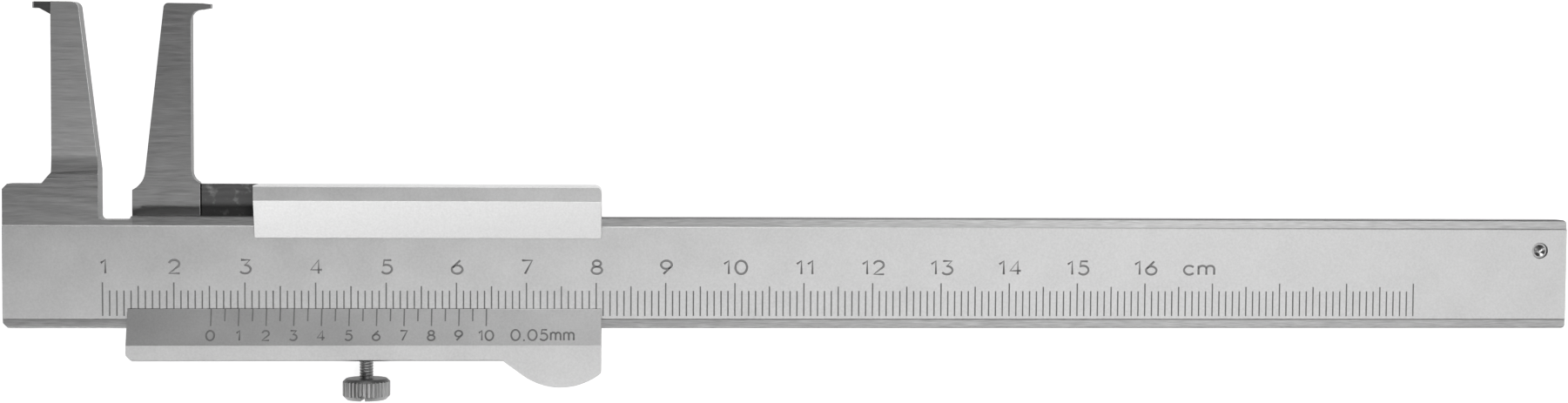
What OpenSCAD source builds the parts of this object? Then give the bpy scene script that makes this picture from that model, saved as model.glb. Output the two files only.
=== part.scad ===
// Groove caliper: a rule with a fixed jaw, and a slider with a jaw that passes behind it.
// Working frame: X along the rule from the zero of its scale, Y from the rule's centre line
// towards the jaw tips, Z up from the rule's front face. The finished part lies on its back.

/* [Beam] */
// Height of the beam
beam_h = 16; // [14:0.5:18]
// Thickness of the beam
beam_t = 3.5; // [3:0.1:4.5]
// Right end of the beam, from the scale's zero
beam_end = 223; // [222:0.5:260]
// Width of the sunk ledge along each front edge
ledge_w = 1.25; // [0.8:0.05:1.6]
// Depth of the sunk ledge
ledge_d = 0.2; // [0.2:0.05:0.6]
// Chamfer along the beam's long edges
beam_edge_break = 0.15; // [0.05:0.05:0.2]
// Radius of the beam's right-hand corners
beam_corner_r = 0.6; // [0.2:0.1:2]

/* [Head and fixed jaw] */
// How far the head reaches left of the scale's zero
head_overhang = 4; // [3:0.1:8]
// Right wall of the head, from the scale's zero
head_right = 9.4; // [8.6:0.1:9.9]
// Top of the head, above the beam's centre line
head_top = 12.6; // [11:0.1:13]
// Chamfer on the head's left corners
head_chamfer = 0.75; // [0.3:0.05:1.5]
// Top edge of both jaws, above the beam's centre line
jaw_top = 38.45; // [32:0.05:60]
// Left edge of the fixed jaw, from the scale's zero
fixed_jaw_left = 2.8; // [2.75:0.05:3.2]
// Width of the fixed jaw at its top edge
fixed_jaw_top_w = 3.85; // [3:0.05:5]
// Height at which the fixed jaw's right edge starts to lean in
fixed_jaw_lean_y = 14.6; // [13.5:0.1:20]
// Radius of the fixed jaw's top corner
fixed_jaw_corner_r = 1; // [0.3:0.1:1.5]
// Width of the slope at the fixed jaw's left foot
foot_slope_w = 1.35; // [0.5:0.05:2]
// Height of the slope at the fixed jaw's left foot
foot_slope_h = 1.6; // [0.5:0.05:2.5]
// Depth of the fixed jaw's ground face below the beam's front face
jaw_face_d = 0.8; // [0.7:0.05:1.4]
// Radius that the grinding wheel leaves at the foot of that face
jaw_runout_r = 9; // [4:0.5:15]
// Height above the head's top at which that radius starts
jaw_runout_step = 0.85; // [0.2:0.05:2]
// Width of the relief notch beside the head's right wall
notch_w = 4.6; // [2:0.1:8]
// Depth of the relief notch
notch_d = 0.5; // [0.3:0.05:0.8]
// Radius in the corners of the relief notch
notch_r = 0.6; // [0.2:0.05:0.9]

/* [Measuring tips] */
// How far the fixed tip reaches left of the scale's zero, and the vernier's zero right of the moving tip
tip_offset = 0.4; // [0.2:0.05:0.9]
// Thickness of the moving tip, front to back
tip_t = 1.2; // [0.8:0.05:1.6]
// Radius of the crowned measuring faces
tip_crown_r = 4; // [3:0.1:8]
// Height of the fixed tip at its end
fixed_tip_h = 0.9; // [0.5:0.05:1.2]
// Height of the fixed tip at its root
fixed_tip_root_h = 1.95; // [1.5:0.05:2.5]
// Length of the fixed tip's parallel part
fixed_tip_flat = 1.3; // [0.6:0.05:2]
// Depth of the fixed tip's front below the fixed jaw's face
fixed_tip_step = 1.2; // [0.8:0.05:1.6]
// Gap between the fixed tip's back and the moving jaw when the jaws are closed
closed_gap = 0.17; // [0.1:0.01:0.4]
// Height of the moving tip at its end
moving_tip_h = 0.6; // [0.4:0.05:0.8]
// Drop of the moving tip's top edge
moving_tip_drop = 0.12; // [0:0.02:0.3]
// Length of the moving tip
moving_tip_len = 2.95; // [2.2:0.05:3.2]
// Length of the moving tip's tapered part
moving_tip_taper = 1.25; // [0.6:0.05:1.4]
// Drop of the moving tip's underside at its root
moving_tip_sink = 0.95; // [0.9:0.05:1.2]
// Radius under the moving tip
moving_tip_r = 1.5; // [0.5:0.1:1.5]

/* [Scale] */
// First line of the scale, and smallest reading
scale_from = 10; // [10:1:20]
// Last line of the scale
scale_to = 200; // [150:1:210]
// Width of a scale line
line_w = 0.2; // [0.08:0.01:0.25]
// Depth of a scale line
line_d = 0.04; // [0.02:0.01:0.08]
// Gap between the foot of the scale lines and the ledge
line_foot = 0.55; // [0.2:0.05:1]
// Length of a millimetre line
line_mm = 3.65; // [2:0.05:5]
// Length of a five-millimetre line
line_5mm = 4.3; // [3:0.05:6]
// Length of a centimetre line
line_cm = 4.8; // [3:0.05:7]

/* [Vernier] */
// Reading at which the caliper stands
reading = 25.3; // [12:0.05:150]
// Number of divisions
vernier_divisions = 20; // [10:1:20]
// Length of the vernier on the rule's scale
vernier_span = 39; // [19:1:39]
// Length of a plain vernier line
vernier_line = 1.8; // [1:0.05:2.2]
// Length of a numbered vernier line
vernier_long_line = 2.5; // [1.5:0.05:2.8]

/* [Slider] */
// Length of the slider
slider_l = 67.25; // [64:0.25:80]
// Height of the slider
slider_h = 25.1; // [24.5:0.1:28]
// Left end of the slider to the vernier's zero
vernier_margin = 11.8; // [11.6:0.1:14]
// Thickness of the slider's back plate
back_t = 2.05; // [1.8:0.05:3]
// Front of the lips above the beam's face
lip_rise = 1.7; // [1.2:0.05:2.5]
// Left end of the upper lip, from the slider's left end
upper_lip_start = 17.9; // [15:0.1:25]
// How far the upper lip reaches over the beam
upper_lip_reach = 3; // [2:0.05:4]
// How far the vernier lip reaches over the beam
lower_lip_reach = 2.85; // [2:0.05:4]
// Width of the upper lip's flat
upper_flat_w = 2.2; // [1.5:0.05:3]
// Width of the vernier lip's flat
lower_flat_w = 2.3; // [1.5:0.05:3]
// Thickness of the lips at their thin edge
lip_edge_t = 0.15; // [0.1:0.01:0.4]
// Running clearance between the beam and the slider's edges
edge_clear = 0.03; // [0.02:0.01:0.08]
// Running clearance between the beam's faces and the slider
face_clear = 0.05; // [0.03:0.01:0.1]
// Chamfer along the slider's outer edges
slider_edge_break = 0.2; // [0.05:0.05:0.4]
// Chamfer at the vernier lip's lower left corner
slider_chamfer = 0.85; // [0.3:0.05:1.5]
// Radius at the slider's top right corner
slider_corner_r = 1; // [0.4:0.1:2]
// Depth of the milled shelf beside the jaw
shelf_d = 0.35; // [0.2:0.05:0.6]
// Lower edge of that shelf, below the beam's top edge
shelf_drop = 1.5; // [0.5:0.1:3]
// Radius of the thumb rest
thumb_r = 9.2; // [7:0.1:12]
// Centre of the thumb rest, from the slider's right end
thumb_back = 5.8; // [4:0.1:8]
// How far the thumb rest stands below the slider
thumb_drop = 3.8; // [2.5:0.1:4.5]
// Length of the thumb rest's slope, along the slider
thumb_slope = 8.2; // [7.5:0.1:12]

/* [Moving jaw] */
// Thickness of the jaw's blade
jaw_t = 2; // [1.6:0.05:2.6]
// Thickness of the jaw's foot
foot_t = 1; // [0.7:0.05:1.2]
// Gap between the jaw and the beam's back
jaw_gap = 0.1; // [0.06:0.01:0.2]
// Width of the jaw's foot
foot_w = 9.65; // [9:0.05:11]
// Joint gap round the jaw's foot
foot_gap = 0.15; // [0.05:0.01:0.2]
// Lower end of the jaw's foot, above the beam's centre line
foot_low = 1.05; // [0.5:0.05:3]
// Width of the blade at its top edge
blade_top_w = 3.8; // [3:0.05:3.9]
// Width of the blade at its root
blade_root_w = 6.55; // [5:0.05:7.2]
// Height of the blade's root above the slider's top
blade_root_y = 2.05; // [1:0.05:4]
// Radius at the blade's top left corner
blade_corner_r = 0.7; // [0.2:0.05:1]
// Radius where the blade's right edge meets the slider
blade_fillet_r = 1.8; // [0.5:0.1:2]
// Radius of the hollow at the blade's left root
heel_r = 3.2; // [1.5:0.1:3.5]
// Level of that hollow, below the slider's top
heel_drop = 1.2; // [0.8:0.05:2]
// Diameter of the rivets
rivet_d = 2.5; // [2:0.1:3]
// Diameter of the rivets' heads
rivet_head_d = 3.5; // [3.2:0.1:4]
// Depth of the rivets' heads
rivet_head_t = 0.4; // [0.2:0.05:0.5]
// Height of the rivets above the foot's lower end
rivet_up = 3.5; // [2.5:0.1:4.5]
// Distance of the rivets from the sides of the foot
rivet_in = 2.6; // [2.2:0.1:3]

/* [Gib] */
// Thickness of the gib strip
gib_t = 0.7; // [0.5:0.05:0.9]
// Space behind the gib strip
gib_room = 0.17; // [0.12:0.01:0.3]
// Gap between the gib strip and the slider's ends
gib_end_gap = 1; // [0.5:0.1:3]
// Gap beside the gib strip in the slider's channel
gib_side_gap = 0.15; // [0.1:0.05:0.4]
// Diameter of the set screws
set_screw_d = 2; // [1.6:0.1:2.2]
// Diameter of the set screws' points
set_point_d = 1; // [0.7:0.05:1.2]
// Depth of a set screw's point in the gib strip
set_point_depth = 0.25; // [0.15:0.05:0.35]
// Sinking of the set screws' slotted ends
set_screw_sink = 0.35; // [0.1:0.05:0.8]
// Width of the set screws' slots
set_slot_w = 0.45; // [0.3:0.05:0.6]
// Depth of the set screws' slots
set_slot_d = 0.6; // [0.3:0.05:0.8]
// Set screws, distance from the slider's ends
set_screw_in = 10.5; // [8:0.1:14]
// Clearance round set screws, pins and rivets
fit_clear = 0.02; // [0.01:0.01:0.04]

/* [Lock screw] */
// Lock screw axis, from the slider's left end
lock_x = 33.5; // [26:0.1:40]
// Diameter of the thread
lock_d = 2; // [1.6:0.1:2.4]
// Clearance round the thread
lock_clear = 0.05; // [0.03:0.01:0.08]
// Diameter of the knurled head
lock_head_d = 6.8; // [5:0.1:7.2]
// Height of the knurled head
lock_head_h = 3.05; // [2:0.05:6]
// Chamfer at the top of the head
lock_top_chamfer = 0.45; // [0.2:0.05:0.8]
// Chamfer at the end of the head
lock_end_chamfer = 0.6; // [0.2:0.05:0.8]
// Bare thread between the slider and the head
lock_bare = 2.8; // [1:0.05:5]
// Number of ribs in the knurl
knurl_ribs = 32; // [16:4:36]
// Depth of the knurl
knurl_d = 0.16; // [0.1:0.02:0.2]
// Width of the head's slot
lock_slot_w = 0.65; // [0.5:0.05:0.8]
// Depth of the head's slot
lock_slot_d = 0.8; // [0.4:0.05:1.4]
// Turn of the screw about its axis, in degrees
lock_turned = -5; // [-180:1:180]
// Thickness of the clamp pad
pad_t = 1; // [0.6:0.05:1.5]
// Gap between the clamp pad and the gib strip
pad_gap = 0.1; // [0.08:0.01:0.15]
// Gap between the clamp pad and the lock screw's end
pad_seat = 0.02; // [0.01:0.01:0.05]

/* [Stop pin] */
// Diameter of the stop pin
pin_d = 2.3; // [1.5:0.1:3]
// Distance of the stop pin from the beam's right end
pin_in = 4; // [3:0.1:5]
// Height of the stop pin above the beam's centre line
pin_y = 3.5; // [0:0.1:5]
// Sinking of the pin below the beam's front face
pin_sink = 0.3; // [0.1:0.05:1]
// Width of the rim round the conical dimple in the pin
pin_rim = 0.3; // [0.1:0.05:0.5]
// Depth of that dimple
pin_dimple_h = 0.55; // [0.2:0.05:1]

/* [Hidden] */
$fn = 96;
cut = 1;
lap = 0.05;

half_beam = beam_h / 2;
half_slider = slider_h / 2;
ledge_y = half_beam - ledge_w;

// Depths, front to back
jaw_front_z = -beam_t - jaw_gap;
jaw_back_z = jaw_front_z - jaw_t;
foot_back_z = jaw_front_z - foot_t;
tip_mid_z = jaw_front_z - tip_t / 2;
tip_back_z = jaw_front_z - tip_t;
plate_front_z = -beam_t - face_clear;
plate_back_z = plate_front_z - back_t;
shelf_z = plate_front_z - shelf_d;
channel_mid_z = (plate_front_z + face_clear) / 2;
low_z = min(plate_back_z, jaw_back_z);

// Fixed jaw
fixed_jaw_right = fixed_jaw_left + fixed_jaw_top_w;
fixed_tip_z = -jaw_face_d - fixed_tip_step;
runout_y = head_top + jaw_runout_step;
runout_drop = jaw_face_d - ledge_d;
runout_end_y = runout_y + sqrt(pow(jaw_runout_r, 2) - pow(jaw_runout_r - runout_drop, 2));
notch_end = head_right + notch_w;
line_foot_y = -ledge_y + line_foot;

// Slider at its reading
slider_x = reading - vernier_margin;
slider_end = slider_x + slider_l;
upper_lip_x = slider_x + upper_lip_start;
travel_to_closed = reading - scale_from;
vernier_pitch = vernier_span / vernier_divisions;
lower_lip_y = -half_beam + lower_lip_reach;
thumb_x = slider_end - thumb_back;
thumb_y = -half_slider - thumb_drop + thumb_r;
wall_low_y = -half_beam - edge_clear - gib_t - gib_room;

// Moving jaw
moving_tip_x = reading - tip_offset;
blade_right = moving_tip_x - moving_tip_len;
blade_top_left = [blade_right - blade_top_w, jaw_top];
blade_root_left = [blade_right - blade_root_w, half_slider + blade_root_y];
blade_lean = (blade_top_left.x - blade_root_left.x) / (blade_top_left.y - blade_root_left.y);
heel_y = half_slider - heel_drop;
heel_corner = [blade_root_left.x + (heel_y - blade_root_left.y) * blade_lean, heel_y];
foot_right = slider_x + foot_w;
rivet_xs = [slider_x + rivet_in, foot_right - rivet_in];
rivet_y = foot_low + rivet_up;
fixed_tip_root_y = jaw_top - fixed_tip_root_h;
closed_blade_x = blade_root_left.x + (fixed_tip_root_y - blade_root_left.y) * blade_lean - travel_to_closed;

// Gib and lock screw, by height
gib_top_y = -half_beam - edge_clear;
gib_low_y = gib_top_y - gib_t;
set_screw_low_y = -half_slider + set_screw_sink;
set_screw_xs = [slider_x + set_screw_in, slider_end - set_screw_in - thumb_slope];
pad_top_y = gib_low_y - pad_gap;
lock_top_y = pad_top_y - pad_t - pad_seat;
lock_head_y = -half_slider - lock_bare;
lock_low_y = lock_head_y - lock_head_h;
lock_axis_x = slider_x + lock_x;

// Stop pin
pin_x = beam_end - pin_in;

// The part's own frame: centre of its box, on the surface that it lies on
frame_x = (beam_end - head_overhang) / 2;
frame_y = (jaw_top + lock_low_y) / 2;

function unit(v) = v / norm(v);

// Moves a piece from the working frame to the part's own frame
module placed() {
    translate([-frame_x, -frame_y, -low_z]) children();
}

// The sliver between a corner at p, with edges towards a and b, and an arc that rounds it. It is cut away
// on an outer corner and added on an inner one, and laps over both edges so that no fin is left along them.
module corner(p, a, b, r) {
    to_a = unit(a - p);
    to_b = unit(b - p);
    over_a = unit(to_a * (to_a * to_b) - to_b) * lap;
    over_b = unit(to_b * (to_a * to_b) - to_a) * lap;
    half = acos(to_a * to_b) / 2;
    reach = r / tan(half);
    centre = p + unit(to_a + to_b) * r / sin(half);
    difference() {
        polygon([p + over_a + over_b, p + to_a * reach + over_a, centre, p + to_b * reach + over_b]);
        translate(centre) circle(r);
    }
}

// A flat shape made solid between two depths
module slab(z_from, z_to) {
    translate([0, 0, z_from]) linear_extrude(z_to - z_from) children();
}

// A profile in Y and Z drawn out along X
module along_x(x_from, x_to) {
    translate([x_from, 0, 0]) rotate([90, 0, 90]) linear_extrude(x_to - x_from) children();
}

// A round rod along Y
module rod_y(x, z, y_from, y_to, d) {
    translate([x, y_to, z]) rotate([90, 0, 0]) cylinder(d = d, h = y_to - y_from);
}

// A square bar that leaves a chamfer of the given width along an edge at [y, z]
module edge_bar(y, z, size, x_from, x_to) {
    side = size * sqrt(2);
    translate([x_from, y, z]) rotate([45, 0, 0])
        translate([0, -side / 2, -side / 2]) cube([x_to - x_from, side, side]);
}

// Cylinder across a measuring tip, whose side is the crowned face at x; side is 1 for a face to the right
module crown(x, side) {
    translate([x - side * tip_crown_r, jaw_top + cut, tip_mid_z]) rotate([90, 0, 0])
        cylinder(r = tip_crown_r, h = fixed_tip_root_h + 2 * cut);
}

// Beam
module beam_outline() {
    left = -head_overhang;
    foot_y = head_top + foot_slope_h;
    jaw_corner = [fixed_jaw_right, jaw_top];
    lean_start = [head_right, fixed_jaw_lean_y];
    difference() {
        polygon([
            [left + head_chamfer, -half_beam], [beam_end, -half_beam], [beam_end, half_beam],
            [head_right, half_beam], lean_start, jaw_corner, [fixed_jaw_left, jaw_top],
            [fixed_jaw_left, foot_y], [fixed_jaw_left - foot_slope_w, head_top],
            [left + head_chamfer, head_top], [left, head_top - head_chamfer],
            [left, head_chamfer - half_beam]
        ]);
        corner([beam_end, -half_beam], [0, -half_beam], [beam_end, 0], beam_corner_r);
        corner([beam_end, half_beam], [beam_end, 0], [0, half_beam], beam_corner_r);
        corner(jaw_corner, [fixed_jaw_left, jaw_top], lean_start, fixed_jaw_corner_r);
        relief_notch();
    }
}

module relief_notch() {
    floor_y = half_beam - notch_d;
    for (x = [head_right + notch_r, notch_end - notch_r]) translate([x, floor_y + notch_r]) circle(notch_r);
    translate([head_right + notch_r, floor_y]) square([notch_w - 2 * notch_r, notch_d + cut]);
    translate([head_right, floor_y + notch_r]) square([notch_w - notch_r, notch_d + cut]);
}

module fixed_tip() {
    end_x = -tip_offset;
    root = [fixed_jaw_left, fixed_tip_root_y];
    back_end_x = min(closed_blade_x - closed_gap, fixed_jaw_left);
    intersection() {
        slab(tip_back_z, fixed_tip_z) polygon([
            [end_x, jaw_top], [end_x, jaw_top - fixed_tip_h], [end_x + fixed_tip_flat, jaw_top - fixed_tip_h],
            root, root + [cut, 0], [fixed_jaw_left + cut, jaw_top]
        ]);
        crown(end_x, -1);
        union() {
            translate([end_x, root.y - cut, -beam_t]) cube([fixed_jaw_left + cut - end_x, jaw_top, beam_t]);
            translate([end_x, root.y - cut, tip_back_z]) cube([back_end_x - end_x, jaw_top, -tip_back_z]);
        }
    }
}

// Ground relief over the fixed jaw's face: a flat that ends in the wheel's radius
module jaw_face_cut() {
    x_from = -head_overhang - cut;
    wide = head_right + head_overhang + 2 * cut;
    translate([x_from, runout_end_y, -jaw_face_d]) cube([wide, jaw_top, jaw_face_d + cut]);
    translate([x_from, runout_end_y, jaw_runout_r - jaw_face_d]) rotate([0, 90, 0])
        cylinder(r = jaw_runout_r, h = wide);
}

module ledge_cuts() {
    x_from = -head_overhang - cut;
    wide = beam_end - x_from + cut;
    translate([x_from, ledge_y, -ledge_d]) cube([wide, jaw_top, ledge_d + cut]);
    translate([x_from, -half_beam - cut, -ledge_d]) cube([wide, ledge_w + cut, ledge_d + cut]);
    for (side = [-1, 1]) edge_bar(side * ledge_y, 0, beam_edge_break, x_from, x_from + wide);
}

module long_edge_cuts() {
    for (z = [-beam_t, -ledge_d]) {
        edge_bar(-half_beam, z, beam_edge_break, -head_overhang - cut, beam_end + cut);
        edge_bar(half_beam, z, beam_edge_break, notch_end, beam_end + cut);
    }
}

module scale_lines() {
    for (mm = [scale_from : scale_to]) {
        long = mm % 10 == 0 ? line_cm : mm % 5 == 0 ? line_5mm : line_mm;
        translate([mm - line_w / 2, line_foot_y, -line_d]) cube([line_w, long, line_d + cut]);
    }
}

module beam() {
    color("silver") placed() {
        difference() {
            slab(-beam_t, 0) beam_outline();
            ledge_cuts();
            jaw_face_cut();
            long_edge_cuts();
            scale_lines();
            translate([pin_x, pin_y, -beam_t - cut])
                cylinder(d = pin_d + 2 * fit_clear, h = beam_t + 2 * cut);
        }
        fixed_tip();
    }
}

module stop_pin() {
    pin_h = -pin_sink - low_z;
    color("darkgray") placed() translate([pin_x, pin_y, low_z]) rotate_extrude() polygon([
        [0, 0], [pin_d / 2, 0], [pin_d / 2, pin_h], [pin_d / 2 - pin_rim, pin_h], [0, pin_h - pin_dimple_h]
    ]);
}

// Slider
module slider_profile() {
    c = slider_edge_break;
    lip_z = face_clear + lip_edge_t;
    upper_y = half_beam - upper_lip_reach;
    polygon([
        [upper_y, face_clear], [upper_y, lip_z], [half_slider - upper_flat_w, lip_rise],
        [half_slider - c, lip_rise], [half_slider, lip_rise - c],
        [half_slider, plate_back_z + c], [half_slider - c, plate_back_z],
        [c - half_slider, plate_back_z], [-half_slider, plate_back_z + c],
        [-half_slider, lip_rise - c], [c - half_slider, lip_rise],
        [lower_flat_w - half_slider, lip_rise], [lower_lip_y, lip_z], [lower_lip_y, face_clear],
        [wall_low_y, face_clear], [wall_low_y, plate_front_z],
        [half_beam + edge_clear, plate_front_z], [half_beam + edge_clear, face_clear]
    ]);
}

// Thumb rest: an arc with a straight slope on its left, standing below the slider's lower edge
module thumb_outline() {
    low_y = -half_slider;
    start = [slider_end - thumb_back - thumb_slope, low_y];
    to_centre = [thumb_x, thumb_y] - start;
    turn = atan2(to_centre.y, to_centre.x) - asin(thumb_r / norm(to_centre));
    reach = sqrt(pow(norm(to_centre), 2) - pow(thumb_r, 2));
    touch = start + reach * [cos(turn), sin(turn)];
    inner_y = low_y + slider_edge_break;
    polygon([start, touch, [touch.x, inner_y], [start.x, inner_y]]);
    intersection() {
        translate([thumb_x, thumb_y]) circle(thumb_r);
        translate([touch.x, low_y - thumb_drop - cut])
            square([slider_end - touch.x, thumb_drop + cut + slider_edge_break]);
    }
}

module slider_openings() {
    x_from = slider_x - cut;
    tall = half_slider + cut;
    // No upper wall or lip beside the jaw
    translate([x_from, 0, plate_front_z]) cube([upper_lip_x - x_from, tall, lip_rise - plate_front_z + cut]);
    // Bed of the jaw's foot
    translate([x_from, foot_low - foot_gap, foot_back_z])
        cube([foot_right + foot_gap - x_from, tall, plate_front_z - foot_back_z + cut]);
    // Milled shelf between the jaw and the upper lip
    translate([foot_right, half_beam - shelf_drop, shelf_z])
        cube([upper_lip_x - foot_right, tall, shelf_d + cut]);
}

module slider_corner_cuts() {
    top_right = [slider_end, half_slider];
    slab(plate_back_z - cut, lip_rise + cut) {
        corner(top_right, [slider_x, half_slider], [slider_end, 0], slider_corner_r);
        polygon([
            [slider_x - cut, -half_slider - cut], [slider_x + slider_chamfer, -half_slider - cut],
            [slider_x + slider_chamfer, -half_slider], [slider_x, slider_chamfer - half_slider],
            [slider_x - cut, slider_chamfer - half_slider]
        ]);
    }
    // Hollow at the jaw's left root goes on through the back plate
    slab(plate_back_z - cut, foot_back_z + cut) jaw_heel_gap();
}

// What the hollow at the jaw's left root leaves open above the foot
module jaw_heel_gap() {
    difference() {
        translate([slider_x - cut, heel_y])
            square([heel_corner.x - slider_x + cut, heel_drop + cut]);
        jaw_heel();
    }
}

module vernier_lines() {
    rise = lip_rise - face_clear - lip_edge_t;
    run = lower_lip_y - lower_flat_w + half_slider;
    slope = atan2(rise, run);
    for (i = [0 : vernier_divisions]) {
        long = i % 2 == 0 ? vernier_long_line : vernier_line;
        translate([reading + i * vernier_pitch - line_w / 2, lower_lip_y, face_clear + lip_edge_t])
            rotate([-slope, 0, 0]) translate([0, -long, -line_d]) cube([line_w, long + cut, line_d + cut]);
    }
}

module slider_frame() {
    color("gainsboro") placed() difference() {
        union() {
            along_x(slider_x, slider_end) slider_profile();
            slab(plate_back_z, lip_rise) thumb_outline();
        }
        slider_openings();
        slider_corner_cuts();
        vernier_lines();
        for (x = rivet_xs) rivet(x, fit_clear);
        for (x = set_screw_xs)
            rod_y(x, channel_mid_z, -half_slider - cut, wall_low_y + cut, set_screw_d + 2 * fit_clear);
        rod_y(lock_axis_x, channel_mid_z, -half_slider - cut, wall_low_y + cut, lock_d + 2 * lock_clear);
    }
}

// Moving jaw
module jaw_heel() {
    corner(heel_corner, blade_top_left, [slider_x - heel_r, heel_y], heel_r);
}

module jaw_outline() {
    tip_top = jaw_top - moving_tip_drop;
    under_y = jaw_top - moving_tip_sink;
    taper_x = moving_tip_x - moving_tip_taper;
    difference() {
        intersection() {
            union() {
                polygon([
                    [slider_x, foot_low], [foot_right, foot_low], [foot_right, half_slider],
                    [blade_right, half_slider], [blade_right, under_y], [taper_x, under_y],
                    [moving_tip_x, tip_top - moving_tip_h], [moving_tip_x, tip_top], [taper_x, jaw_top],
                    blade_top_left, heel_corner, [slider_x, heel_y]
                ]);
                jaw_heel();
                corner([blade_right, half_slider], [blade_right, jaw_top], [upper_lip_x, half_slider],
                       blade_fillet_r);
                corner([blade_right, under_y], [blade_right, 0], [moving_tip_x, under_y], moving_tip_r);
            }
            union() {
                translate([slider_x, foot_low]) square([foot_w, half_slider + blade_root_y - foot_low]);
                translate([slider_x, half_slider + blade_root_y]) square([moving_tip_x - slider_x, jaw_top]);
            }
        }
        corner(blade_top_left, [taper_x, jaw_top], heel_corner, blade_corner_r);
    }
}

module moving_jaw() {
    wide = moving_tip_x - slider_x + cut;
    color("gray") placed() difference() {
        union() {
            slab(foot_back_z, jaw_front_z) jaw_outline();
            slab(jaw_back_z, jaw_front_z) intersection() {
                jaw_outline();
                translate([slider_x, half_slider + foot_gap]) square([wide, jaw_top]);
            }
        }
        for (x = rivet_xs) rivet(x, fit_clear);
        // Thin tip, level with the jaw's front
        translate([blade_right, jaw_top - moving_tip_sink - moving_tip_r, jaw_back_z - cut])
            cube([moving_tip_len + cut, moving_tip_sink + moving_tip_r + cut, tip_back_z - jaw_back_z + cut]);
        difference() {
            translate([moving_tip_x - tip_crown_r / 2, jaw_top - moving_tip_sink, tip_back_z - cut])
                cube([tip_crown_r, moving_tip_sink + cut, tip_t + 2 * cut]);
            crown(moving_tip_x, 1);
        }
    }
}

// Rivet with a filled countersink at both ends, grown by a clearance for its hole
module rivet(x, grow) {
    shank = rivet_d / 2 + grow;
    head = rivet_head_d / 2 + grow;
    long = jaw_front_z - plate_back_z;
    translate([x, rivet_y, plate_back_z]) rotate_extrude() polygon([
        [0, -grow], [head, -grow], [head, 0], [shank, rivet_head_t], [shank, long - rivet_head_t],
        [head, long], [head, long + grow], [0, long + grow]
    ]);
}

module jaw_rivets() {
    color("dimgray") placed() for (x = rivet_xs) rivet(x, 0);
}

// Gib
module gib_strip() {
    z_low = plate_front_z + gib_side_gap;
    color("peru") placed() difference() {
        translate([slider_x + gib_end_gap, gib_low_y, z_low])
            cube([slider_l - 2 * gib_end_gap, gib_t, face_clear - gib_side_gap - z_low]);
        for (x = set_screw_xs)
            rod_y(x, channel_mid_z, gib_low_y - cut, gib_low_y + set_point_depth + fit_clear,
                  set_point_d + 2 * fit_clear);
    }
}

module gib_set_screws() {
    color("dimgray") placed() for (x = set_screw_xs) difference() {
        union() {
            rod_y(x, channel_mid_z, set_screw_low_y, wall_low_y, set_screw_d);
            rod_y(x, channel_mid_z, set_screw_low_y, gib_low_y + set_point_depth, set_point_d);
        }
        translate([x - set_slot_w / 2, set_screw_low_y - cut, channel_mid_z - set_screw_d])
            cube([set_slot_w, set_slot_d + cut, 2 * set_screw_d]);
    }
}

// Lock screw
module clamp_pad() {
    color("goldenrod") placed()
        rod_y(lock_axis_x, channel_mid_z, pad_top_y - pad_t, pad_top_y, lock_d - fit_clear);
}

module lock_screw() {
    r = lock_head_d / 2;
    long = lock_top_y - lock_low_y;
    groove = 2 * sqrt(2) * knurl_d;
    color("darkgray") placed()
        translate([lock_axis_x, lock_low_y, channel_mid_z]) rotate([-90, 0, 0]) rotate([0, 0, lock_turned])
        difference() {
            rotate_extrude() polygon([
                [0, 0], [r - lock_end_chamfer, 0], [r, lock_end_chamfer], [r, lock_head_h - lock_top_chamfer],
                [r - lock_top_chamfer, lock_head_h], [lock_d / 2, lock_head_h], [lock_d / 2, long], [0, long]
            ]);
            // Each groove of the knurl is the corner of a square bar
            for (i = [0 : knurl_ribs - 1]) rotate([0, 0, i * 360 / knurl_ribs])
                translate([r + knurl_d, 0, -cut]) rotate([0, 0, 45])
                    translate([-groove / 2, -groove / 2, 0]) cube([groove, groove, lock_head_h + 2 * cut]);
            translate([-lock_slot_w / 2, -lock_head_d, -cut])
                cube([lock_slot_w, 2 * lock_head_d, lock_slot_d + cut]);
        }
}

beam();
stop_pin();
slider_frame();
moving_jaw();
jaw_rivets();
gib_strip();
gib_set_screws();
clamp_pad();
lock_screw();
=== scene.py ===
# Looks of a groove caliper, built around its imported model. Lengths are in metres in the model's
# frame: X runs along the rule, Y towards the jaw tips, and Z out of the graduated face.
import math

import bpy
from mathutils import Euler, Matrix, Vector


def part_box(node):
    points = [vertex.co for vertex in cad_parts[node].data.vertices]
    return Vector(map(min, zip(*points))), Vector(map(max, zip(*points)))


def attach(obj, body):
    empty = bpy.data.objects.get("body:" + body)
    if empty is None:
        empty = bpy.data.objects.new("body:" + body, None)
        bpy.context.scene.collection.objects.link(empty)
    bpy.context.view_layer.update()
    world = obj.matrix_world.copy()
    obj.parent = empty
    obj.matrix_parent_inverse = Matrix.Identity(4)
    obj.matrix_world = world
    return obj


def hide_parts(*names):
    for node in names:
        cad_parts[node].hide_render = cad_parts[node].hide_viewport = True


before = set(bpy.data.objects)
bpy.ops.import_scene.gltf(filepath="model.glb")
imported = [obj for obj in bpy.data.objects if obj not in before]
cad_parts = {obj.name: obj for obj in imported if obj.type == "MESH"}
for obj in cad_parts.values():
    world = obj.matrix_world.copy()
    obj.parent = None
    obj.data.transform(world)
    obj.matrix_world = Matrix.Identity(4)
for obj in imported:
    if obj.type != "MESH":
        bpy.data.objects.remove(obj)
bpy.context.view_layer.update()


# Beam
# One bar of stainless steel: the rule, its head and the fixed jaw are milled from a single piece.
# Its face is blasted and chromed to a satin so that the scale reads well. The ledges, the head and
# the jaw are left as ground, and the outer edges are finely broken. The sides are rougher and,
# with the fixed jaw's tip and the rule's upper edge beside the slider, painted dark as shade. The
# ledges are painted a little darker than the head as shade, and the fixed jaw's face lighter as
# painted light.
mm = 0.001
merge_distance = 0.001 * mm
beam_low, beam_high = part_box("beam")
head_overhang = 4 * mm
beam_half = 8 * mm
zero_x = beam_low.x + head_overhang
centre_y = beam_low.y + beam_half
face_z = beam_high.z


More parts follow.
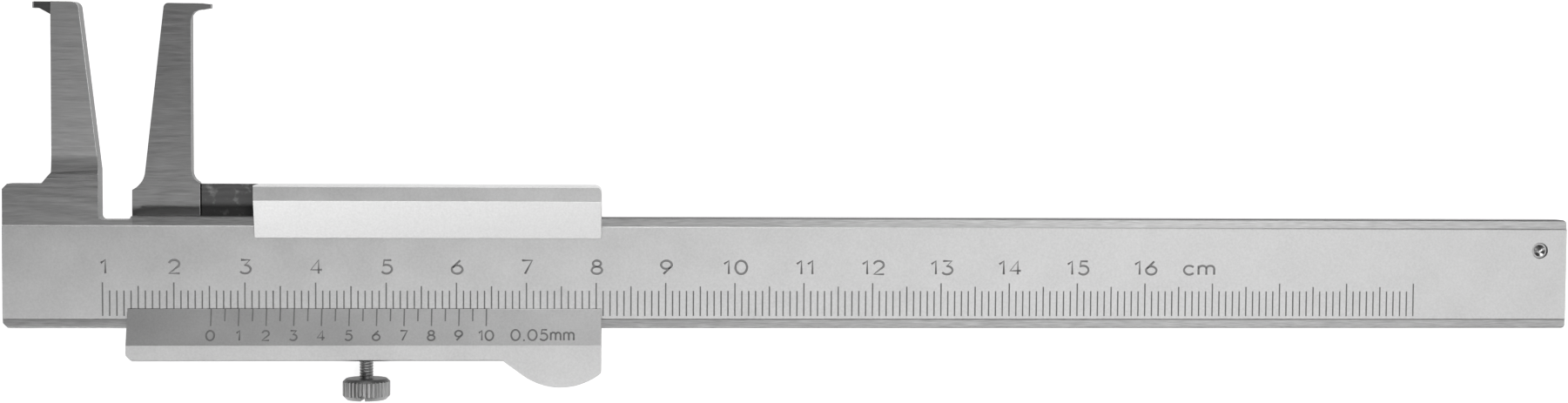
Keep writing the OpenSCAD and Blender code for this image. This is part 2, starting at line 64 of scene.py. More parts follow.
def on_rule(x, y, z=0.0):
    """A place, from millimetres along the scale, up from the rule's middle and out of its face."""
    return Vector((zero_x + x * mm, centre_y + y * mm, face_z + z * mm))


def srgb(code):
    """The linear colour of an sRGB hex code."""
    channels = [int(code[i:i + 2], 16) / 255 for i in (1, 3, 5)]
    linear = [c / 12.92 if c <= 0.04045 else ((c + 0.055) / 1.055) ** 2.4 for c in channels]
    return (*linear, 1.0)


def set_inputs(material, node, inputs):
    """Sets a shader node's inputs to values, or links them from (node, output) pairs."""
    for name, value in inputs.items():
        if isinstance(value, tuple) and isinstance(value[0], bpy.types.Node):
            material.node_tree.links.new(value[0].outputs[value[1]], node.inputs[name])
        else:
            node.inputs[name].default_value = value


def add_node(material, kind, settings, inputs):
    """Adds a shader node with its settings and inputs."""
    node = material.node_tree.nodes.new("ShaderNode" + kind)
    for name, value in settings.items():
        setattr(node, name, value)
    set_inputs(material, node, inputs)
    return node


def satin_chrome():
    """Chrome over blasted steel.

    The blasting scatters light evenly, and the bath leaves a faint mottle. The grit is about 0.1 mm
    across and is drawn three times as coarse, so that it shows."""
    grit = 0.3 * mm
    grit_depth = 0.01 * mm
    mottle_size = 5 * mm
    material = bpy.data.materials.new("satin_chrome")
    material.use_nodes = True
    shader = material.node_tree.nodes["Principled BSDF"]
    place = add_node(material, "TexCoord", {}, {})
    grain = add_node(material, "TexNoise", {},
                     {"Vector": (place, "Object"), "Scale": 1 / grit, "Detail": 2.0})
    mottle = add_node(material, "TexNoise", {},
                      {"Vector": (place, "Object"), "Scale": 1 / mottle_size, "Detail": 4.0})
    tone = add_node(material, "MixRGB", {},
                    {"Fac": (mottle, "Fac"), "Color1": srgb("#c8c8c8"), "Color2": srgb("#d3d3d3")})
    speckle = add_node(material, "MixRGB", {"blend_type": "OVERLAY"},
                       {"Fac": 0.18, "Color1": (tone, "Color"), "Color2": (grain, "Fac")})
    sheen = add_node(material, "MapRange", {},
                     {"Value": (mottle, "Fac"), "To Min": 0.38, "To Max": 0.46})
    relief = add_node(material, "Bump", {},
                      {"Height": (grain, "Fac"), "Strength": 0.25, "Distance": grit_depth})
    set_inputs(material, shader, {"Base Color": (speckle, "Color"), "Roughness": (sheen, "Result"),
                                  "Normal": (relief, "Normal"), "Metallic": 1.0})
    return material


def ground_steel(name, dark, light, roughness):
    """Surface-ground steel: the wheel leaves fine lines along X, which streak the light.

    The lines are about 0.03 mm apart and are drawn five times as coarse, so that they show. A
    slower streaking lies over them, where the wheel cut a little deeper."""
    line_gap = 0.15 * mm
    line_length = 2.2 * mm
    line_depth = 0.01 * mm
    streak_gap = 0.4 * mm
    sheen_change = 0.03
    stretch = (1 / line_length, 1 / line_gap, 1 / line_gap)
    material = bpy.data.materials.new(name)
    material.use_nodes = True
    shader = material.node_tree.nodes["Principled BSDF"]
    place = add_node(material, "TexCoord", {}, {})
    drawn = add_node(material, "Mapping", {}, {"Vector": (place, "Object"), "Scale": stretch})
    lines = add_node(material, "TexNoise", {},
                     {"Vector": (drawn, "Vector"), "Scale": 1.0, "Detail": 2.0})
    streaks = add_node(material, "TexNoise", {},
                       {"Vector": (drawn, "Vector"), "Scale": line_gap / streak_gap, "Detail": 2.0})
    tone = add_node(material, "MixRGB", {},
                    {"Fac": (streaks, "Fac"), "Color1": srgb(dark), "Color2": srgb(light)})
    lined = add_node(material, "MixRGB", {"blend_type": "OVERLAY"},
                     {"Fac": 0.45, "Color1": (tone, "Color"), "Color2": (lines, "Fac")})
    sheen = add_node(material, "MapRange", {},
                     {"Value": (streaks, "Fac"), "To Min": roughness - sheen_change,
                      "To Max": roughness + sheen_change})
    relief = add_node(material, "Bump", {},
                      {"Height": (lines, "Fac"), "Strength": 0.08, "Distance": line_depth})
    set_inputs(material, shader, {"Base Color": (lined, "Color"), "Roughness": (sheen, "Result"),
                                  "Normal": (relief, "Normal"), "Metallic": 1.0})
    return material


def add_piece(name, data):
    """Adds a piece to the scene and selects it alone, so that operators act on nothing else."""
    piece = bpy.data.objects.new(name, data)
    bpy.context.scene.collection.objects.link(piece)
    bpy.ops.object.select_all(action="DESELECT")
    piece.select_set(True)
    bpy.context.view_layer.objects.active = piece
    return piece


def broken_edge_copy(node, name, width, sharp, lines=None, split=None):
    """A copy of a CAD piece with its outer edges broken, where its faces are wide enough.

    Only edges that turn by more than sharp degrees are broken. lines is the box round the piece's
    engraved lines, low and high corner: the mesh is cut along that box and left alone inside it, so
    that the lines stay crisp and their thin faces don't reach the broken edges. split is a place
    where flats are divided across X, so that each side can have a finish of its own."""
    flat_angle = math.radians(0.5)
    smooth_angle = math.radians(20)
    least_width = 3 * width

    def engraved(place):
        """Whether a place is inside the box round the engraved lines."""
        return lines is not None and all(
            low < at < high for low, at, high in zip(lines[0], place, lines[1]))

    def roomy(face):
        """Whether a face is wide enough, on average, for a broken edge on either side."""
        ends = [[piece.data.vertices[i].co for i in key] for key in face.edge_keys]
        outline = sum((first - second).length for first, second in ends)
        return 2 * face.area > least_width * outline

    # The CAD's loose triangles are merged, and flats become single faces outside the box.
    piece = add_piece(name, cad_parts[node].data.copy())
    bpy.ops.object.mode_set(mode="EDIT")
    bpy.ops.mesh.select_mode(type="EDGE")
    bpy.ops.mesh.select_all(action="SELECT")
    bpy.ops.mesh.remove_doubles(threshold=merge_distance)
    if split:
        bpy.ops.mesh.bisect(plane_co=split, plane_no=(1, 0, 0))
        bpy.ops.mesh.mark_seam()
    bpy.ops.mesh.select_mode(type="FACE")
    for place in lines or ():
        for normal in ((1, 0, 0), (0, 1, 0)):
            bpy.ops.mesh.select_all(action="SELECT")
            bpy.ops.mesh.bisect(plane_co=place, plane_no=normal)
    bpy.ops.object.mode_set(mode="OBJECT")
    for face in piece.data.polygons:
        face.select = not engraved(face.center)
    bpy.ops.object.mode_set(mode="EDIT")
    bpy.ops.mesh.dissolve_limited(angle_limit=flat_angle, delimit={"SEAM"})

    # Sharp outer edges between roomy faces are broken, and the other sharp ones stay sharp.
    bpy.ops.mesh.select_mode(type="EDGE")
    bpy.ops.mesh.select_all(action="DESELECT")
    bpy.ops.mesh.edges_select_sharp(sharpness=math.radians(sharp))
    bpy.ops.object.mode_set(mode="OBJECT")
    sides = {}
    for face in piece.data.polygons:
        for key in face.edge_keys:
            sides.setdefault(key, []).append(face)
    weights = piece.data.attributes.new("bevel_weight_edge", "FLOAT", "EDGE")
    for edge in piece.data.edges:
        first, second = (piece.data.vertices[i].co for i in edge.vertices)
        one, two = sides[edge.key]
        outer = (two.center - one.center).dot(one.normal) < 0
        broken = outer and roomy(one) and roomy(two) and not engraved((first + second) / 2)
        weights.data[edge.index].value = 1.0 if edge.select and broken else 0.0
        edge.use_edge_sharp = edge.select and not broken
    bevel = piece.modifiers.new("broken edges", "BEVEL")
    bevel.limit_method = "WEIGHT"
    bevel.width = width
    bevel.segments = 2
    bevel.use_clamp_overlap = False
    bpy.ops.object.modifier_apply(modifier=bevel.name)

    # The broken edges are shaded round, while flats and engraved lines stay flat.
    bpy.ops.object.shade_smooth_by_angle(angle=smooth_angle)
    for face in piece.data.polygons:
        face.use_smooth = not engraved(face.center)
    flats = piece.modifiers.new("flats stay flat", "WEIGHTED_NORMAL")
    flats.weight = 100
    flats.keep_sharp = True
    bpy.ops.object.modifier_apply(modifier=flats.name)
    piece.data.materials.clear()
    return piece


edge_width = 0.04 * mm
scale_start, scale_end = 10, 200
notch_end = 14.0
ledge_start = notch_end + 0.2
scale_box = (on_rule(scale_start - 0.5, -6.4, -0.1), on_rule(scale_end + 0.5, -1.2, 0.1))
beam = broken_edge_copy("beam", "beam_steel", edge_width, sharp=25, lines=scale_box,
                        split=on_rule(ledge_start, 0))
satin = satin_chrome()
ground = ground_steel("ground_steel", "#c5c5c5", "#dfdfdf", 0.3)
# Painted shade: this darker, rougher copy of the ground steel goes on the sides, the fixed jaw's
# tip and the rule's upper edge beside the slider.
side_painted_shade = ground_steel("side_painted_shade_steel", "#686868", "#727272", 0.4)
# Painted shade: the ledges get this copy of the ground steel, a little darker than the head on the
# same ground face.
ledge_painted_shade = ground_steel("ledge_painted_shade_steel", "#b4b4b4", "#c6c6c6", 0.3)
# Painted light: the fixed jaw's face gets this lighter copy of the ground steel.
jaw_painted_light = ground_steel("jaw_painted_light_steel", "#cfcfcf", "#e6e6e6", 0.35)
finishes = (satin, ground, side_painted_shade, ledge_painted_shade, jaw_painted_light)
for finish in finishes:
    beam.data.materials.append(finish)

# The finishes part at these places, in millimetres, and by the Z of a face's normal, which is small
# on a side and near one on a flat.
chrome_depth = 0.16
beam_thickness = 3.5
back_slack = 0.01
tip_right, tip_foot = 2.7, 36.0
jaw_foot, jaw_depth = 13.0, 0.5
upper_edge_start, upper_edge_foot = notch_end - 0.1, 7.8
side_z, flat_z = 0.3, 0.95
for face in beam.data.polygons:
    place = (face.center - on_rule(0, 0)) / mm
    normal_z = abs(face.normal.z)
    on_face = place.z > -chrome_depth
    on_back = abs(place.z + beam_thickness) < back_slack
    tip_painted_shade = place.x < tip_right and place.y > tip_foot
    upper_edge_painted_shade = place.x > upper_edge_start and place.y > upper_edge_foot and normal_z < flat_z
    # Sides, the fixed jaw's tip and the upper edge beside the slider take the painted shade, the
    # ledges a painted darker tone and the fixed jaw's face a painted lighter one.
    if on_face or on_back:
        finish = satin
    elif tip_painted_shade or upper_edge_painted_shade or normal_z < side_z:
        finish = side_painted_shade
    elif place.y < 0 or place.x > ledge_start:
        finish = ledge_painted_shade
    elif place.y > jaw_foot and place.z < -jaw_depth:
        finish = jaw_painted_light
    else:
        finish = ground
    face.material_index = finishes.index(finish)
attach(beam, "beam")
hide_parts("beam")


# Scale lines of the rule
# Each line is cut into the face and filled with dark paint, which is wiped off level and then
# shrinks a little below the face as it dries.
line_width = 0.2 * mm
line_foot = -6.2
line_tops = {"cm": -1.4, "half": -1.9, "mm": -2.55}
groove_depth = 0.04 * mm
paint_drop = 0.006 * mm


def worn_paint(name, dark, light):
    """Matt dark enamel, thin and a little worn, so its tone wanders along each line."""
    wear_size = 1.2 * mm
    material = bpy.data.materials.new(name)
    material.use_nodes = True
    shader = material.node_tree.nodes["Principled BSDF"]
    place = add_node(material, "TexCoord", {}, {})
    wear = add_node(material, "TexNoise", {},
                    {"Vector": (place, "Object"), "Scale": 1 / wear_size, "Detail": 3.0})
    tone = add_node(material, "MixRGB", {},
                    {"Fac": (wear, "Fac"), "Color1": srgb(dark), "Color2": srgb(light)})
    set_inputs(material, shader, {"Base Color": (tone, "Color"), "Roughness": 0.6})
    return material


def add_strip(place, turn, width, length):
    """A strip of paint whose foot is at place, lying along Y before it is turned about X."""
    bpy.ops.mesh.primitive_plane_add(size=1.0)
    strip = bpy.context.object
    bpy.ops.object.mode_set(mode="EDIT")
    bpy.ops.transform.resize(value=(width, length, 1.0))
    bpy.ops.transform.translate(value=(0.0, length / 2, 0.0))
    bpy.ops.mesh.extrude_region_move(TRANSFORM_OT_translate={"value": (0.0, 0.0, groove_depth)})
    bpy.ops.mesh.select_all(action="SELECT")
    bpy.ops.mesh.normals_make_consistent(inside=False)
    bpy.ops.object.mode_set(mode="OBJECT")
    strip.data.transform(Matrix.Translation(place) @ Matrix.Rotation(turn, 4, "X"))
    return strip


def join_as(name, pieces):
    """Joins pieces into one, under a name."""
    bpy.ops.object.select_all(action="DESELECT")
    for piece in pieces:
        piece.select_set(True)
    bpy.context.view_layer.objects.active = pieces[0]
    bpy.ops.object.join()
    joined = bpy.context.object
    joined.name = name
    joined.data.materials.clear()
    return joined


strips = []
for step in range(scale_start, scale_end + 1):
    kind = "cm" if step % 10 == 0 else "half" if step % 5 == 0 else "mm"
    foot = on_rule(step, line_foot) - Vector((0, 0, groove_depth + paint_drop))
    strips.append(add_strip(foot, 0.0, line_width, (line_tops[kind] - line_foot) * mm))
scale_lines = join_as("scale_line_paint", strips)
paint = worn_paint("line_paint", "#666666", "#8a8a8a")
scale_lines.data.materials.append(paint)
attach(scale_lines, "beam")


# Numbers of the rule
# Centimetre numbers over the long lines, drawn with a single stroke of even width as an engraver
# does, filled with a paler paint, with the unit after the last number.
last_number = 16
number_height = 1.93 * mm
number_foot = -0.1
number_stroke = 0.3 * mm
number_shift = 0.1
figure_gap = 0.95 * mm
unit_height = 1.76 * mm
unit_width = 2.33 * mm
unit_gap = 0.75 * mm
unit_middle = 168.0
paint_thickness = 0.012 * mm


def arc(x, y, width, height, start, end):
    """Points on part of an ellipse, from start to end in degrees."""
    steps = 20
    turns = [math.radians(start + (end - start) * i / steps) for i in range(steps + 1)]
    return [(x + width * math.cos(t), y + height * math.sin(t)) for t in turns]


def strokes_of(character):
    """The strokes of a character that is one unit tall, as lists of points."""
    return {
        "0": [arc(0.44, 0.5, 0.44, 0.5, 90, 450)],
        "1": [[(0.0, 0.76), (0.34, 1.0), (0.34, 0.0)]],
        "2": [arc(0.4, 0.7, 0.37, 0.3, 170, -35) + [(0.02, 0.0), (0.8, 0.0)]],
        "3": [[(0.05, 1.0), (0.7, 1.0), (0.33, 0.62)] + arc(0.35, 0.31, 0.41, 0.31, 90, -150)],
        "4": [[(0.58, 0.0), (0.58, 1.0), (0.0, 0.28), (0.82, 0.28)]],
        "5": [[(0.72, 1.0), (0.2, 1.0)] + arc(0.37, 0.33, 0.4, 0.33, 128, -150)],
        "6": [[(0.62, 1.0), (0.08, 0.46)], arc(0.4, 0.31, 0.4, 0.31, 90, 450)],
        "7": [[(0.02, 1.0), (0.78, 1.0), (0.24, 0.0)]],
        "8": [arc(0.4, 0.77, 0.3, 0.23, 90, 450), arc(0.4, 0.27, 0.39, 0.27, 81, 441)],
        "9": [[(0.18, 0.0), (0.72, 0.54)], arc(0.4, 0.69, 0.4, 0.31, 90, 450)],
        "c": [arc(0.34, 0.37, 0.34, 0.37, 40, 320)],
        "m": [[(0.0, 0.0), (0.0, 0.74)], arc(0.25, 0.49, 0.25, 0.25, 180, 0) + [(0.5, 0.0)],
              arc(0.75, 0.49, 0.25, 0.25, 180, 0) + [(1.0, 0.0)]],
        ".": [[(0.0, 0.0), (0.16, 0.0)]],
    }[character]


def add_label(text, height, width, stroke, gap, place, turn):
    """Paint strokes of a short label, centred on place along X with its foot there, turned about X.

    Height and width are those of a figure one unit tall and one unit wide, between the middles of
    its strokes."""
    lines = []
    right = 0.0
    for character in text:
        strokes = strokes_of(character)
        left = min(x for points in strokes for x, y in points)
        for points in strokes:
            lines.append([(right + (x - left) * width, y * height) for x, y in points])
        right += (max(x for points in strokes for x, y in points) - left) * width + gap
    middle = (right - gap) / 2
    curve = bpy.data.curves.new("label", "CURVE")
    curve.dimensions = "3D"
    curve.bevel_depth = stroke / 2
    curve.bevel_resolution = 1
    curve.use_fill_caps = True
    for points in lines:
        ring = math.dist(points[0], points[-1]) < merge_distance
        points = points[:-1] if ring else points
        spline = curve.splines.new("POLY")
        spline.use_cyclic_u = ring
        spline.points.add(len(points) - 1)
        for point, (x, y) in zip(spline.points, points):
            point.co = (x - middle, y, 0.0, 1.0)
    add_piece("label", curve)
    bpy.ops.object.convert(target="MESH")
    label = bpy.context.object
    bpy.ops.object.mode_set(mode="EDIT")
    bpy.ops.mesh.select_all(action="SELECT")
    bpy.ops.mesh.remove_doubles(threshold=merge_distance)
    bpy.ops.mesh.normals_make_consistent(inside=False)
    bpy.ops.object.mode_set(mode="OBJECT")
    flat = Matrix.Diagonal((1.0, 1.0, paint_thickness / stroke, 1.0))
    label.data.transform(Matrix.Translation(place) @ Matrix.Rotation(turn, 4, "X") @ flat)
    return label


labels = []
for number in range(1, last_number + 1):
    labels.append(add_label(str(number), number_height, number_height, number_stroke, figure_gap,
                            on_rule(10 * number + number_shift, number_foot), 0.0))
labels.append(add_label("cm", unit_height, unit_width, number_stroke, unit_gap,
                        on_rule(unit_middle, number_foot), 0.0))
scale_numbers = join_as("scale_number_paint", labels)
scale_numbers.data.materials.append(worn_paint("number_paint", "#828282", "#9a9a9a"))
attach(scale_numbers, "beam")


# Stop pin
# A turned steel pin driven through the beam near its right end. Its front end is dimpled by the
# punch that spread it, and its back end stands out and stops the slider.
def turned_steel(name, dark, light, roughness):
    """Turned steel: the tool leaves a fine torn grain, which breaks up the shine.

    The grain is about 0.05 mm across and is drawn four times as coarse, so that it shows."""
    grain_size = 0.2 * mm
    grain_depth = 0.01 * mm
    sheen_change = 0.06
    material = bpy.data.materials.new(name)
    material.use_nodes = True
    shader = material.node_tree.nodes["Principled BSDF"]
    place = add_node(material, "TexCoord", {}, {})
    grain = add_node(material, "TexNoise", {},
                     {"Vector": (place, "Object"), "Scale": 1 / grain_size, "Detail": 3.0})
    tone = add_node(material, "MixRGB", {},
                    {"Fac": (grain, "Fac"), "Color1": srgb(dark), "Color2": srgb(light)})
    sheen = add_node(material, "MapRange", {},
                     {"Value": (grain, "Fac"), "To Min": roughness - sheen_change,
                      "To Max": roughness + sheen_change})
    relief = add_node(material, "Bump", {},
                      {"Height": (grain, "Fac"), "Strength": 0.2, "Distance": grain_depth})
    set_inputs(material, shader, {"Base Color": (tone, "Color"), "Roughness": (sheen, "Result"),
                                  "Normal": (relief, "Normal"), "Metallic": 1.0})
    return material


pin_edge_width = 0.05 * mm
pin = broken_edge_copy("stop_pin", "stop_pin_steel", pin_edge_width, sharp=25)
pin_steel = turned_steel("turned_pin_steel", "#b3b3b3", "#c7c7c7", 0.3)
pin.data.materials.append(pin_steel)
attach(pin, "beam")
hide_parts("stop_pin")


# Slider
# A block of stainless steel milled to a C round the beam. Both lips are bevelled down to the rule's
# face, the lower one carries the vernier, and a round thumb rest stands out below. The flats are
# satin chromed like the rule, and the shelf beside the jaw keeps its dull milled face, painted dark
# as shade in its recess, with lighter spots painted on as highlights.
shelf_right, shelf_foot = 31.5, 0.5
back_facing_z = -0.5


def milled_steel():
    """Face-milled steel: dull, with the cutter's overlapping sweeps, painted dark as shade and with
    a few lighter spots painted on as highlights.
    """
    sweep = 1.6 * mm
    sweep_depth = 0.02 * mm
    glint_size = 1.2 * mm
    material = bpy.data.materials.new("milled_steel")
    material.use_nodes = True
    shader = material.node_tree.nodes["Principled BSDF"]
    place = add_node(material, "TexCoord", {}, {})
    sweeps = add_node(material, "TexWave", {"wave_type": "RINGS"},
                      {"Vector": (place, "Object"), "Scale": 1 / sweep, "Distortion": 3.0,
                       "Detail": 2.0})
    glint_noise = add_node(material, "TexNoise", {},
                     {"Vector": (place, "Object"), "Scale": 1 / glint_size, "Detail": 4.0})
    # Painted highlights: lighter spots where the noise runs high, on a base painted dark as the
    # recess's shade.
    painted_glints = add_node(material, "MapRange", {},
                      {"Value": (glint_noise, "Fac"), "From Min": 0.56, "From Max": 0.75})
    tone = add_node(material, "MixRGB", {},
                    {"Fac": (painted_glints, "Result"), "Color1": srgb("#666666"),
                     "Color2": srgb("#929292")})
    relief = add_node(material, "Bump", {},
                      {"Height": (sweeps, "Fac"), "Strength": 0.25, "Distance": sweep_depth})
    set_inputs(material, shader, {"Base Color": (tone, "Color"), "Roughness": 0.42,
                                  "Normal": (relief, "Normal"), "Metallic": 1.0})
    return material


vernier_box = (on_rule(24.8, -8.0, 0.0), on_rule(64.8, -5.1, 1.2))
slider = broken_edge_copy("slider_frame", "slider_steel", edge_width, sharp=12, lines=vernier_box)
slider.data.materials.append(satin)
slider.data.materials.append(milled_steel())
for face in slider.data.polygons:
    place = (face.center - on_rule(0, 0)) / mm
    behind_beam = place.z < -beam_thickness and face.normal.z > back_facing_z
    in_shelf = behind_beam and place.x < shelf_right and place.y > shelf_foot
    face.material_index = 1 if in_shelf else 0
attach(slider, "slider")
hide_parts("slider_frame")


# Vernier lines
# Twenty divisions on the lower lip's bevel, cut and filled like the rule's lines, with every second
# line longer and numbered.
reading = 25.3
lip_edge = (-5.15, 0.2)
lip_shoulder = (-10.25, 1.7)
lip_slope = math.atan2(lip_shoulder[1] - lip_edge[1], lip_edge[0] - lip_shoulder[0])
vernier_pitch = 1.95
vernier_divisions = 20
vernier_lengths = (2.5 * mm, 1.8 * mm)


def on_bevel(x, down):
    """A place on the vernier's bevel, from millimetres along the scale and down from its edge."""
    return on_rule(x, lip_edge[0] - down * math.cos(lip_slope),
                   lip_edge[1] + down * math.sin(lip_slope))


bevel_normal = Vector((0, math.sin(lip_slope), math.cos(lip_slope)))
strips = []
for division in range(vernier_divisions + 1):
    length = vernier_lengths[division % 2]
    foot = on_bevel(reading + division * vernier_pitch, length / mm)
    foot -= bevel_normal * (groove_depth + paint_drop)
    strips.append(add_strip(foot, -lip_slope, line_width, length))
vernier_lines = join_as("vernier_line_paint", strips)
vernier_lines.data.materials.append(paint)
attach(vernier_lines, "slider")


# Vernier numbers
# Tenths of a millimetre under the long lines, and the vernier's reading step to their right, in the
# same single-stroke figures as the rule's.
tenth_height = 1.4 * mm
tenth_width = 1.28 * mm
tenth_gap = 0.5 * mm
vernier_number_down = 4.58
vernier_stroke = 0.25 * mm
step_height = 1.53 * mm
step_width = 1.4 * mm
step_gap = 0.48 * mm
step_middle = 72.35

labels = []
for tenth in range(vernier_divisions // 2 + 1):
    foot = on_bevel(reading + 2 * tenth * vernier_pitch, vernier_number_down)
    labels.append(add_label(str(tenth), tenth_height, tenth_width, vernier_stroke, tenth_gap,
                            foot, -lip_slope))
labels.append(add_label("0.05mm", step_height, step_width, vernier_stroke, step_gap,
                        on_bevel(step_middle, vernier_number_down), -lip_slope))
vernier_numbers = join_as("vernier_number_paint", labels)
vernier_numbers.data.materials.append(paint)
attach(vernier_numbers, "slider")


# Moving jaw
# A hardened jaw, ground on both faces and riveted into the slider's back layer, so that it passes
# behind the beam. Its tip points outwards and is crowned where it measures.
jaw = broken_edge_copy("moving_jaw", "moving_jaw_steel", edge_width, sharp=25)
jaw.data.materials.append(ground)
jaw.data.materials.append(side_painted_shade)
# The jaw's sides take the darker copy of the ground steel as painted shade.
for face in jaw.data.polygons:
    face.material_index = 1 if abs(face.normal.z) < side_z else 0
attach(jaw, "slider")
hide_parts("moving_jaw")


# Jaw rivets
# Two soft steel rivets through the jaw's foot, hammered into countersinks and ground flush. They
# hold the jaw on the slider, out of sight behind the beam.
def finish_node(node, finish):
    """Gives a CAD piece that keeps its shape a finish in place of its plain one."""
    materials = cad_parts[node].data.materials
    materials.clear()
    materials.append(finish)


finish_node("jaw_rivets", pin_steel)


# Gib strip
# A strip of hard-rolled bronze between the beam's lower edge and the slider. Two set screws press
# on it to take up the slider's play.
def rolled_bronze(name, dark, light):
    """Rolled bronze or drawn brass: warm, with faint streaks along the strip or bar."""
    streak_length = 12 * mm
    streak_gap = 0.3 * mm
    stretch = (1 / streak_length, 1 / streak_gap, 1 / streak_gap)
    material = bpy.data.materials.new(name)
    material.use_nodes = True
    shader = material.node_tree.nodes["Principled BSDF"]
    place = add_node(material, "TexCoord", {}, {})
    drawn = add_node(material, "Mapping", {}, {"Vector": (place, "Object"), "Scale": stretch})
    streaks = add_node(material, "TexNoise", {},
                       {"Vector": (drawn, "Vector"), "Scale": 1.0, "Detail": 3.0})
    tone = add_node(material, "MixRGB", {},
                    {"Fac": (streaks, "Fac"), "Color1": srgb(dark), "Color2": srgb(light)})
    sheen = add_node(material, "MapRange", {},
                     {"Value": (streaks, "Fac"), "To Min": 0.28, "To Max": 0.4})
    set_inputs(material, shader, {"Base Color": (tone, "Color"), "Roughness": (sheen, "Result"),
                                  "Metallic": 1.0})
    return material


finish_node("gib_strip", rolled_bronze("rolled_bronze", "#a87b48", "#bf9159"))


# Gib set screws
# Two short slotted screws of turned steel in the slider's lower edge. Their points sit in the gib
# strip.
finish_node("gib_set_screws", turned_steel("turned_screw_steel", "#868686", "#a4a4a4", 0.3))


# Clamp pad
# A brass plug between the lock screw's end and the gib strip, so that the screw doesn't mark the
# strip when it is tightened.
finish_node("clamp_pad", rolled_bronze("turned_brass", "#b8934b", "#cfac62"))


# Lock screw
# A steel thumb screw: the head is turned, knurled with straight ribs, chamfered and slotted across
# its end. The faces under the head that look towards the slider are painted dark as shade, and the
# stem has a fine thread.
screw_low, screw_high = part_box("lock_screw")
screw_axis = (screw_low + screw_high) / 2
head_height = 3.05 * mm
stem_foot = screw_low.y + head_height
knurl_edge_width = 0.012 * mm
thread_pitch = 0.4 * mm
crest_radius = 1.0 * mm
root_radius = 0.92 * mm
stem_reach = 1.2 * crest_radius
stem_slack = 0.01 * mm
under_head = 0.05 * mm

screw = broken_edge_copy("lock_screw", "lock_screw_steel", knurl_edge_width, sharp=35)
knurled = turned_steel("knurled_screw_steel", "#9c9c9c", "#b4b4b4", 0.5)
underside_painted_shade = turned_steel("underside_painted_shade_steel", "#666666", "#787878", 0.5)
screw.data.materials.append(knurled)
screw.data.materials.append(underside_painted_shade)
# Painted shade: faces under the head that look towards the slider take the darker steel.
for face in screw.data.polygons:
    on_stem = face.center.y > stem_foot + under_head
    face.material_index = 1 if face.normal.y > side_z and not on_stem else 0

# The stem shrinks to the thread's root, and the thread is wound round it as a ridge.
for vertex in screw.data.vertices:
    off_axis = vertex.co - screw_axis
    past_head = vertex.co.y > stem_foot - stem_slack
    if past_head and math.hypot(off_axis.x, off_axis.z) < stem_reach:
        vertex.co.x = screw_axis.x + off_axis.x * root_radius / crest_radius
        vertex.co.z = screw_axis.z + off_axis.z * root_radius / crest_radius
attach(screw, "lock_screw")
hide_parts("lock_screw")

ridge_foot = root_radius - 0.02 * mm
ridge_width = 0.9 * thread_pitch
ridge = ((ridge_foot, 0.0), (crest_radius, ridge_width / 2), (ridge_foot, ridge_width))
steps_per_turn = 32
bpy.ops.object.select_all(action="DESELECT")
bpy.ops.mesh.primitive_circle_add(vertices=3, radius=1.0)
thread = bpy.context.object
thread.name = "lock_screw_thread"
for vertex, (radius, along) in zip(thread.data.vertices, ridge):
    vertex.co = (radius, along, 0.0)
turns = thread.modifiers.new("turns", "SCREW")
turns.axis = "Y"
turns.screw_offset = thread_pitch
turns.iterations = int((screw_high.y - stem_foot) / thread_pitch) - 1
turns.steps = steps_per_turn
turns.render_steps = steps_per_turn
turns.use_smooth_shade = False
bpy.ops.object.modifier_apply(modifier=turns.name)
thread.data.transform(Matrix.Translation((screw_axis.x, stem_foot, screw_axis.z)))
bpy.ops.object.mode_set(mode="EDIT")
bpy.ops.mesh.select_all(action="SELECT")
bpy.ops.mesh.fill_holes(sides=3)
bpy.ops.mesh.select_all(action="SELECT")
bpy.ops.mesh.normals_make_consistent(inside=False)
bpy.ops.object.mode_set(mode="OBJECT")
thread.data.materials.append(knurled)
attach(thread, "lock_screw")


# Floor
# Plain pale paper under the caliper. The camera and reflections see it nearly white, and it keeps
# a faint shadow. It is wide enough to fill low views too.
floor_size = 16.0
floor_glow = 0.87
bpy.ops.object.select_all(action="DESELECT")
bpy.ops.mesh.primitive_plane_add(size=floor_size)
floor = bpy.context.object
floor.name = "floor"
paper = bpy.data.materials.new("pale_paper")
paper.use_nodes = True
paper.node_tree.nodes.remove(paper.node_tree.nodes["Principled BSDF"])
seen = add_node(paper, "LightPath", {}, {})
shiny = add_node(paper, "Math", {"operation": "MAXIMUM"},
                 {0: (seen, "Is Camera Ray"), 1: (seen, "Is Glossy Ray")})
clear = add_node(paper, "Math", {"operation": "MAXIMUM"},
                 {0: (shiny, "Value"), 1: (seen, "Is Transmission Ray")})
glow = add_node(paper, "Emission", {}, {"Color": srgb("#ffffff"), "Strength": floor_glow})
pale = add_node(paper, "BsdfDiffuse", {}, {"Color": srgb("#bcbcbc")})
bright = add_node(paper, "AddShader", {}, {0: (glow, "Emission"), 1: (pale, "BSDF")})
plain = add_node(paper, "BsdfDiffuse", {}, {"Color": srgb("#d8d8d8")})
mixed = add_node(paper, "MixShader", {},
                 {"Fac": (clear, "Value"), 1: (plain, "BSDF"), 2: (bright, "Shader")})
set_inputs(paper, paper.node_tree.nodes["Material Output"], {"Surface": (mixed, "Shader")})
floor.data.materials.append(paper)


# Light
# Soft panels round a copy stand in a dark room. A row of small ones leans in from the rule's lower
# edge, so the lip's bevel shines and its shadow falls towards the jaw tips. Broad ones overhead, at
# the right and low beyond the jaws light the flats and the edges that face them.
small_panel, broad_panel = 0.12, 0.3
panel_distance = 0.8


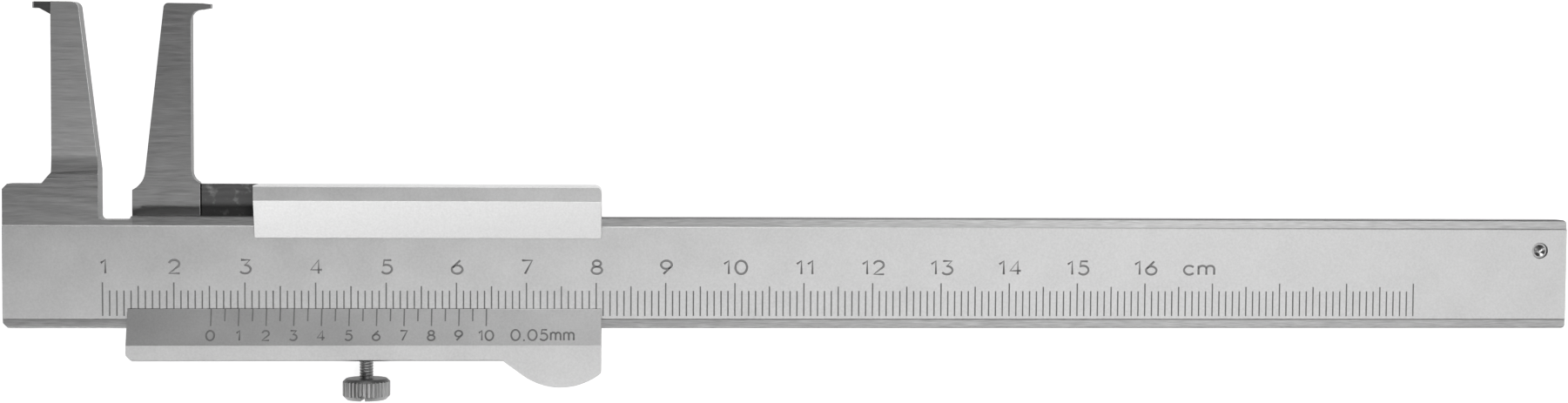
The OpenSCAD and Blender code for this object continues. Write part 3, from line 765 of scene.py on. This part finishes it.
def soft_panel(name, right, up, size, strength):
    """A square panel that faces the caliper, leaning right and up from overhead by degrees."""
    lean = Vector((math.tan(math.radians(right)), math.tan(math.radians(up)), 1.0)).normalized()
    light = bpy.data.lights.new(name, "AREA")
    light.shape = "SQUARE"
    light.size = size
    light.energy = strength
    panel = bpy.data.objects.new(name, light)
    panel.location = lean * panel_distance
    panel.rotation_mode = "QUATERNION"
    panel.rotation_quaternion = lean.to_track_quat("Z", "Y")
    bpy.context.scene.collection.objects.link(panel)


soft_panel("key_left_panel", -22, -25, small_panel, 1.04)
soft_panel("key_middle_panel", 0, -24, small_panel, 0.75)
soft_panel("key_right_panel", 22, -26, small_panel, 0.5)
soft_panel("key_far_panel", 45, -25, small_panel, 0.45)
soft_panel("top_left_panel", 8, 8, broad_panel, 0.37)
soft_panel("top_right_panel", 22, 8, broad_panel, 0.53)
soft_panel("top_back_panel", 8, 28, broad_panel, 0.15)
soft_panel("right_panel", 45, -8, broad_panel, 0.21)
soft_panel("right_low_panel", 75, 0, broad_panel, 0.35)
soft_panel("back_panel", 0, 50, broad_panel, 1.25)
soft_panel("far_left_panel", -30, 72, broad_panel, 0.72)
soft_panel("far_right_panel", 30, 72, broad_panel, 0.33)
world = bpy.data.worlds.new("studio")
world.use_nodes = True
world.node_tree.nodes["Background"].inputs["Strength"].default_value = 0.0
bpy.context.scene.world = world


# Camera
# A long lens on a copy stand. It looks almost straight down at the graduated face from about
# 0.35 m, level with the rule, with the caliper filling the frame.
eye = bpy.data.cameras.new("camera")
eye.sensor_fit = "HORIZONTAL"
eye.sensor_width = 36.0
eye.lens = 55.767
eye.clip_start = 0.01
camera = bpy.data.objects.new("camera", eye)
camera.location = on_rule(84.02, 26.66, 350.0)
camera.rotation_mode = "ZXY"
nod, swing, roll = math.radians(-2.65), math.radians(-3.762), math.radians(0.36)
camera.rotation_euler = Euler((nod, swing, roll), "ZXY")
bpy.context.scene.collection.objects.link(camera)
bpy.context.scene.camera = camera

bpy.context.scene.view_settings.view_transform = "Standard"
